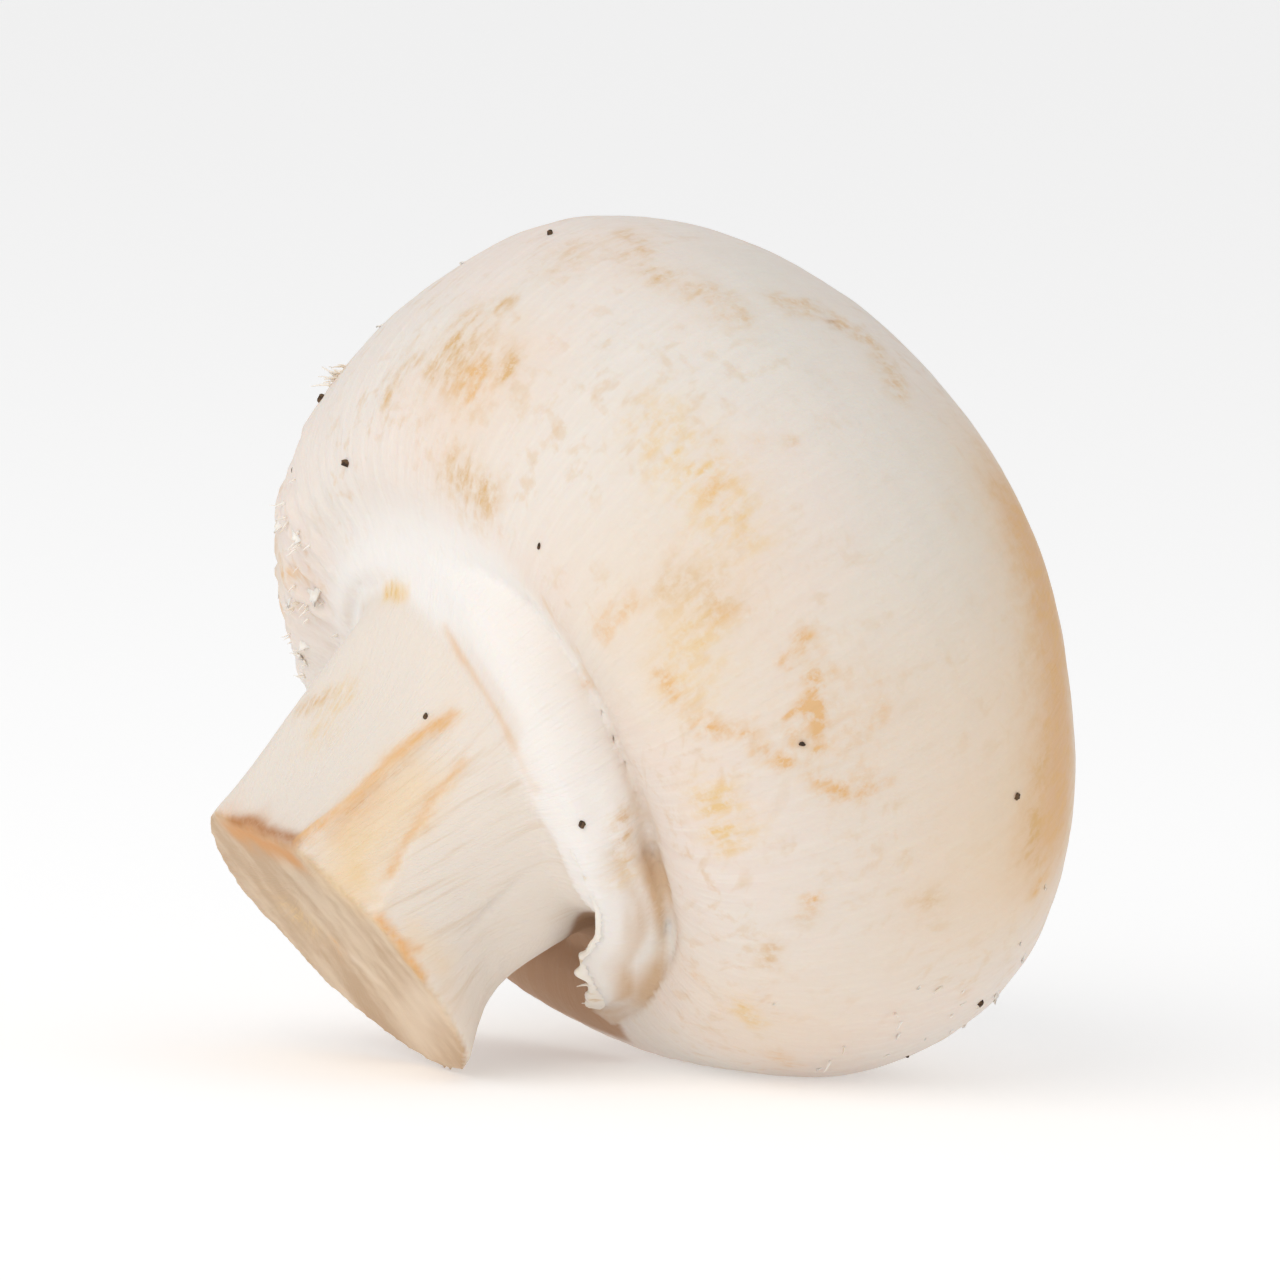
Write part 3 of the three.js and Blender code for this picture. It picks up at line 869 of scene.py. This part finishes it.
def stained(graph, colour, axes, fibres):
    """Lays the stains over a colour: strokes along the fibres and a fine grain break them up."""
    strokes = use_group(graph, fibre_group, Count=30.0, Run=0.6, Detail=3.0)["Value"]
    grain = graph.noise(axes["Point"], 1.6, 4, 0.65)
    coarse, fine = graph.ramp(strokes, 0.35, 0.65, 0.0, 0.9), graph.ramp(fibres, 0.35, 0.65, 0.0, 0.4)
    drawn = graph.math("ADD", coarse, fine)
    rough = graph.math("MULTIPLY", drawn, graph.ramp(grain, 0.3, 0.62, 0.25, 1.9))
    for kind in STAIN_KINDS:
        amount = graph.attribute(kind)
        broken = graph.math("MULTIPLY", amount, graph.math("ADD", rough, 0.2))
        shown = graph.math("MINIMUM", graph.math("MULTIPLY", broken, 0.72), 0.9)
        colour = graph.mix(shown, colour, STAIN_COLOURS[kind])
    return colour


def make_flesh_material():
    material, graph, shader = new_material("mushroom flesh")
    axes = use_group(graph, axes_group)
    fibres = use_group(graph, fibre_group, Count=55.0, Run=0.35, Detail=4.0)["Value"]
    fine = graph.noise(axes["Point"], 3.0, 3)
    height = graph.math("ADD", graph.math("MULTIPLY", fibres, 0.7), graph.math("MULTIPLY", fine, 0.3))
    bump = graph.node("Bump", {"Height": height, "Strength": 0.45, "Distance": 0.25 * MM})
    graph.fill(shader, {"Base Color": flesh_colour(graph, axes, fibres), "Normal": bump.outputs[0]})
    graph.fill(shader, {"Roughness": 0.62, "Specular IOR Level": 0.35, "Subsurface Weight": 0.25})
    graph.fill(shader, {"Subsurface Radius": (1.0, 0.62, 0.4), "Subsurface Scale": 1.2 * MM})
    return material


flesh.data.materials.append(make_flesh_material())
print("flesh material nodes:", len(flesh.data.materials[0].node_tree.nodes))

# %% [markdown]
# ## The torn edge of the veil
# When the cap began to open, the veil tore along its lower side, and its edge hangs free over the hollow
# beside the stem. The body already has its thick sheet. This adds the thin ragged rim: a grid that goes on
# from the sheet, falls further where a shred was left, and is given a thickness. A few torn threads hang
# from its end.

# %% Torn rim
RIM_DIVISIONS = 90
# How far the rim falls past the sheet, in millimetres, along the torn edge from its start to its end.
RIM_FALL = (
    (0, 0), (0.35, 0.1), (0.62, 0.1), (0.68, 0.3), (0.71, 1.1),
    (0.75, 0.2), (0.84, 0.6), (0.95, 0.6), (1, 0.2),
)
# How far inside the sheet the rim starts, and how thick it is, in millimetres.
RIM_SUNK = 0.8
RIM_THICKNESS = 0.32


def torn_edge_at(amount):
    """The free rim of the torn edge and the way from its root to it, from 0 at its start to 1 at its end."""
    place = amount * (len(TORN_EDGE) - 1)
    side, rim_radius, rim_drop, root_radius, root_drop = (
        np.interp(place, range(len(TORN_EDGE)), column) for column in np.array(TORN_EDGE).T
    )
    rim, root = from_polar(side, rim_radius, rim_drop), from_polar(side, root_radius, root_drop)
    return rim, (rim - root) / np.linalg.norm(rim - root)


def make_rim():
    select_only(flesh)
    bpy.ops.mesh.primitive_grid_add(x_subdivisions=RIM_DIVISIONS, y_subdivisions=5, size=2)
    strip = bpy.context.object
    strip.name = strip.data.name = "veil_torn_rim"
    moved = []
    for x, y, _ in get_points(strip):
        amount, across = (x + 1) / 2, (y + 1) / 2
        rim, way = torn_edge_at(amount)
        fall = np.interp(amount, *zip(*RIM_FALL))
        tears = 0.5 * noise.noise(Vector((amount * 24, 0, 3)))
        fine_tears = 0.5 * noise.noise(Vector((amount * 70, 0, 8)))
        fall *= 1 + tears + fine_tears
        outward = rim * (1, 1, 0) / np.linalg.norm(rim[:2])
        wave = 0.22 * noise.noise(Vector((amount * 16, across * 2, 5))) * across
        moved.append(rim + way * (across * (RIM_SUNK + fall) - RIM_SUNK) + outward * wave)
    set_points(strip, from_grown(moved))
    apply_modifier(strip, "SOLIDIFY", thickness=RIM_THICKNESS * MM, offset=0)
    apply_modifier(strip, "SUBSURF", levels=1, render_levels=1)
    bpy.ops.object.shade_smooth()
    return strip


torn_rim = make_rim()
print("torn rim faces:", len(torn_rim.data.polygons))


# %% Torn threads
# Every kind of small piece draws from its own numbers, counted on from this seed.
SEED = 7
TORN_THREADS = 5


def scatter(draw, low, high):
    """Three random values, one for each axis."""
    return np.array([draw.uniform(low, high) for _ in range(3)])


def make_thread(name, root, way, length, thickness, draw):
    """One torn thread: a thin tapered shoot with a closed end, bent at random."""
    select_only(flesh)
    bpy.ops.mesh.primitive_cone_add(vertices=6, radius1=thickness / 2, radius2=thickness / 8, depth=length)
    thread = bpy.context.object
    thread.name = thread.data.name = name
    edit_all(thread, bpy.ops.mesh.subdivide, number_cuts=3)
    points = get_points(thread)
    rise = points[:, 2] / length + 0.5
    for axis in (0, 1):
        bend = draw.uniform(-0.35, 0.35) * rise**2
        wave = draw.uniform(-0.08, 0.08) * np.sin(rise * 6)
        points[:, axis] += length * (bend + wave)
    points[:, 2] += length / 2
    turn = np.array(Vector(way).to_track_quat("Z", "Y").to_matrix())
    set_points(thread, points @ turn.T + np.array(root))
    return thread


def join(parts, name):
    """Makes one piece of many small ones, with its faces outwards."""
    select_only(*parts)
    bpy.ops.object.join()
    joined = bpy.context.object
    joined.name = joined.data.name = name
    edit_all(joined, bpy.ops.mesh.normals_make_consistent, inside=False)
    bpy.ops.object.shade_smooth()
    return joined


def make_torn_threads():
    draw = random.Random(SEED)
    threads = []
    for _ in range(TORN_THREADS):
        rim, fall = torn_edge_at(draw.uniform(0.66, 0.97))
        way = fall + scatter(draw, -0.7, 0.7)
        length = draw.uniform(0.5, 1.1) * MM
        thickness = draw.uniform(0.2, 0.36) * MM
        threads.append(make_thread("thread", from_grown(rim), AXES @ way, length, thickness, draw))
    return join(threads, "veil_threads")


torn_threads = make_torn_threads()
print("torn threads faces:", len(torn_threads.data.polygons))

# %% [markdown]
# ## Tufts of fibres
# Where the skin was rubbed, its fibres stand up: a tuft at a small scar high on the cap's side, shreds on
# the scuffed margin, and a few fine hairs underneath. They are the same thin shoots as the veil's threads.

# %% Tufts
# Side and latitude, how far the fibres spread, their length in millimetres, their number and how they stand.
TUFTS = (
    (147, -17, 0.8, 0.9, 16, 0.9), (141, -14, 0.4, 0.6, 5, 0.8), (136, -36, 2.2, 0.7, 12, 0.3),
    (120, -40, 1.8, 0.7, 12, 0.3), (104, -36, 1.6, 0.6, 8, 0.4), (-27, -18, 2.4, 0.7, 6, 0.6),
    (-40, -6, 3.0, 0.6, 6, 0.6), (60, -20, 4.0, 0.7, 10, 0.5),
)
CAP_RADIUS = 25
# How deep fibres are rooted, and how high above the table they and the flakes start.
FIBRE_ROOT = 0.08
FIBRE_CLEARANCE = 1.2
SMALL_CLEARANCE = 0.6


def make_tufts():
    draw = random.Random(SEED + 3)
    fibres = []
    for side, latitude, spread, length, number, standing in TUFTS:
        for _ in range(number):
            across = math.degrees(spread / (CAP_RADIUS * math.cos(math.radians(latitude))))
            along = math.degrees(spread / CAP_RADIUS)
            this_side = side + draw.gauss(0, across / 2)
            place, normal = on_cap(flesh, this_side, latitude + draw.gauss(0, along / 2))
            if place.z < FIBRE_CLEARANCE * MM:
                continue
            way = DOWN + standing * np.array(normal) + scatter(draw, -0.5, 0.5)
            root = np.array(place - normal * FIBRE_ROOT * MM)
            long = draw.uniform(0.6, 1.3) * length * MM
            fibres.append(make_thread("fibre", root, way, long, draw.uniform(0.10, 0.22) * MM, draw))
    return join(fibres, "skin_tufts")


tufts = make_tufts()
print("tufts faces:", len(tufts.data.polygons))

# %% [markdown]
# ## Flakes of skin
# The skin of the cap frays into small curled flakes, mostly low on the cap and on the scuffed margin. A
# flake is a little grid that narrows to a ragged tip and is given a thickness. Each one is made anew, with
# its own size, curl and tip.

# %% Flakes
# Side, latitude and size in millimetres of the flakes that stand out.
FLAKE_PLACES = (
    (-40, 8, 0.6), (-46, 6, 0.5), (-52, 10, 0.4), (-30, 7, 0.55),
    (-25, 4, 0.45), (-18, 1, 0.5), (-10, -2, 0.45), (-34, 2, 0.4),
    (138, -38, 0.7), (131, -33, 0.6), (126, -41, 0.8), (118, -37, 0.6),
    (110, -40, 0.6), (112, -31, 0.5), (103, -38, 0.7),
    (-22, -19, 0.6), (-26, -17, 0.5), (-17, -22, 0.5),
)
RANDOM_FLAKES = 34
# How deep a flake is rooted, in millimetres, and its thickness as a share of its size.
FLAKE_ROOT = 0.12
FLAKE_THICKNESS = 0.16


def make_flake(place, normal, size, draw):
    select_only(flesh)
    bpy.ops.mesh.primitive_grid_add(x_subdivisions=5, y_subdivisions=5, size=2)
    flake = bpy.context.object
    points = []
    curl = draw.uniform(0.05, 0.3)
    shift = draw.uniform(0, 50)
    for x, y, _ in get_points(flake):
        out = (y + 1) / 2
        width = (1 - 0.6 * out) * (0.85 + 0.4 * noise.noise(Vector((x * 2, out * 2, shift))))
        reach = out * (1 + 0.7 * noise.noise(Vector((x * 3, 0, shift))))
        ripple = 0.15 * noise.noise(Vector((x * 2, out * 3, shift + 9)))
        points.append((x * width, reach, curl * reach * reach + ripple))
    down = Vector(DOWN)
    away = (down - normal * down.dot(normal)).normalized()
    away = (away + normal * draw.uniform(0.02, 0.3)).normalized()
    across = away.cross(normal).normalized()
    frame_turn = np.array(Matrix((across, away, across.cross(away))).transposed())
    root = np.array(place - normal * FLAKE_ROOT * MM)
    set_points(flake, np.array(points) @ frame_turn.T * size * MM + root)
    apply_modifier(flake, "SOLIDIFY", thickness=FLAKE_THICKNESS * size * MM, offset=0)
    points = get_points(flake)
    points[:, 2] = np.maximum(points[:, 2], 0.02 * MM)
    set_points(flake, points)
    return flake


def make_flakes():
    draw = random.Random(SEED + 1)
    spots = list(FLAKE_PLACES)
    for _ in range(RANDOM_FLAKES):
        spots.append((draw.uniform(-50, 165), draw.gauss(-4, 9), draw.uniform(0.25, 0.6)))
    flakes = []
    for side, latitude, size in spots:
        place, normal = on_cap(flesh, side, latitude)
        if place.z > SMALL_CLEARANCE * MM:
            flakes.append(make_flake(place, normal, size, draw))
    return join(flakes, "skin_flakes")


flakes = make_flakes()
print("flakes faces:", len(flakes.data.polygons))

# %% [markdown]
# ## Soil
# A few grains of the dark growing soil cling to the skin. Each is a small lump with random corners, half
# sunk.

# %% Soil grains
# Side, latitude (on the stem the drop) and size in millimetres.
GRAINS_ON_CAP = [(167, -36, 0.5), (-139, -35, 0.28), (-179, 3, 0.42), (-93, -21, 0.36), (-71, 5, 0.55)]
GRAINS_ON_STEM = [(-91, 17.1, 0.4), (-145, 19.7, 0.36)]
RANDOM_GRAINS = 12


def make_grain(place, size, draw):
    select_only(flesh)
    bpy.ops.mesh.primitive_ico_sphere_add(subdivisions=2, radius=size / 2 * MM, location=place)
    grain = bpy.context.object
    bpy.ops.object.transform_apply(location=True)
    points = get_points(grain)
    middle = np.array(place)
    stretch = scatter(draw, 0.6, 1.5)
    jitter = np.array([draw.uniform(0.75, 1.2) for _ in points])[:, None]
    set_points(grain, middle + (points - middle) * stretch * jitter)
    return grain


def make_grains():
    draw = random.Random(SEED + 2)
    spots = [(on_cap(flesh, side, latitude), size) for side, latitude, size in GRAINS_ON_CAP]
    spots += [(on_stem(flesh, side, drop), size) for side, drop, size in GRAINS_ON_STEM]
    for _ in range(RANDOM_GRAINS):
        spot = on_cap(flesh, draw.uniform(-60, 170), draw.uniform(-30, 75))
        spots.append((spot, draw.uniform(0.2, 0.6)))
    clear = [(place, size) for (place, _), size in spots if place.z > SMALL_CLEARANCE * MM]
    return join([make_grain(place, size, draw) for place, size in clear], "soil_grains")


grains = make_grains()
print("soil grains faces:", len(grains.data.polygons))

# %% [markdown]
# ## Materials of the small pieces
# Torn veil and loose skin are the same tissue as the flesh, but so thin that more light passes, and their
# tips dry to tan. Soil is dark, dull and crumbly. Both read the mushroom's own axes, so their grain has a
# true size.

# %% Loose skin and soil
SKIN_COLOURS = linear(248, 240, 229), linear(222, 192, 150)
SKIN_SURFACE = {
    "Roughness": 0.6, "Subsurface Weight": 0.3,
    "Subsurface Radius": (1.0, 0.7, 0.5), "Subsurface Scale": 0.6 * MM,
}
SOIL_COLOURS = linear(52, 38, 27), linear(98, 74, 50)


def make_small_material(name, grain, steps, colours, surface):
    """A surface whose colour wavers from one to another, with a grain of so many waves a millimetre."""
    material, graph, shader = new_material(name)
    waver = graph.noise(use_group(graph, axes_group)["Point"], grain, 3)
    colour = graph.mix(graph.ramp(waver, *steps), *colours)
    graph.fill(shader, {"Base Color": colour, **surface})
    return material


loose_skin = make_small_material("loose skin", 0.9, (0.5, 0.75, 0.0, 0.8), SKIN_COLOURS, SKIN_SURFACE)
for piece in (torn_rim, torn_threads, tufts, flakes):
    piece.data.materials.append(loose_skin)
soil = make_small_material("soil", 4.0, (0.4, 0.6), SOIL_COLOURS, {"Roughness": 0.9})
grains.data.materials.append(soil)
print("materials:", [material.name for material in bpy.data.materials])

# %% [markdown]
# ## Stage
# A pale floor without edges, a soft light from the upper left and an even sky, as in a product picture.

# %% Floor and lights
FLOOR_SIZE = 6
FLOOR_COLOUR = (0.85, 0.85, 0.85, 1)
FLOOR_GLOW = 0.28
WHITE = (1, 1, 1, 1)
KEY_PLACE = (-0.34, -0.52, 0.50)
KEY_SIZE = 0.7
KEY_POWER = 2.2
SKY_STRENGTH = 0.68


def add_floor():
    select_only(flesh)
    bpy.ops.mesh.primitive_plane_add(size=FLOOR_SIZE, location=(0, 0, 0))
    floor = bpy.context.object
    floor.name = "floor"
    material, graph, shader = new_material("pale floor")
    graph.fill(shader, {"Base Color": FLOOR_COLOUR, "Roughness": 0.9})
    graph.fill(shader, {"Emission Color": WHITE, "Emission Strength": FLOOR_GLOW})
    floor.data.materials.append(material)


def add_softbox(name, place, size, power):
    data = bpy.data.lights.new(name, "AREA")
    data.shape = "DISK"
    data.size = size
    data.energy = power
    light = bpy.data.objects.new(name, data)
    light.location = place
    light.rotation_euler = (Vector(place) - AIM).to_track_quat("Z", "Y").to_euler()
    bpy.context.collection.objects.link(light)


def add_sky(strength):
    world = bpy.data.worlds.new("studio")
    world.use_nodes = True
    background = world.node_tree.nodes["Background"]
    Graph(world.node_tree).fill(background, {"Color": WHITE, "Strength": strength})
    bpy.context.scene.world = world


add_floor()
add_softbox("key", KEY_PLACE, KEY_SIZE, KEY_POWER)
add_sky(SKY_STRENGTH)
bpy.context.scene.view_settings.view_transform = "Standard"

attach(flesh, "root")
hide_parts("mushroom")
for piece in (torn_rim, torn_threads, tufts, flakes, grains):
    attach(piece, "root")
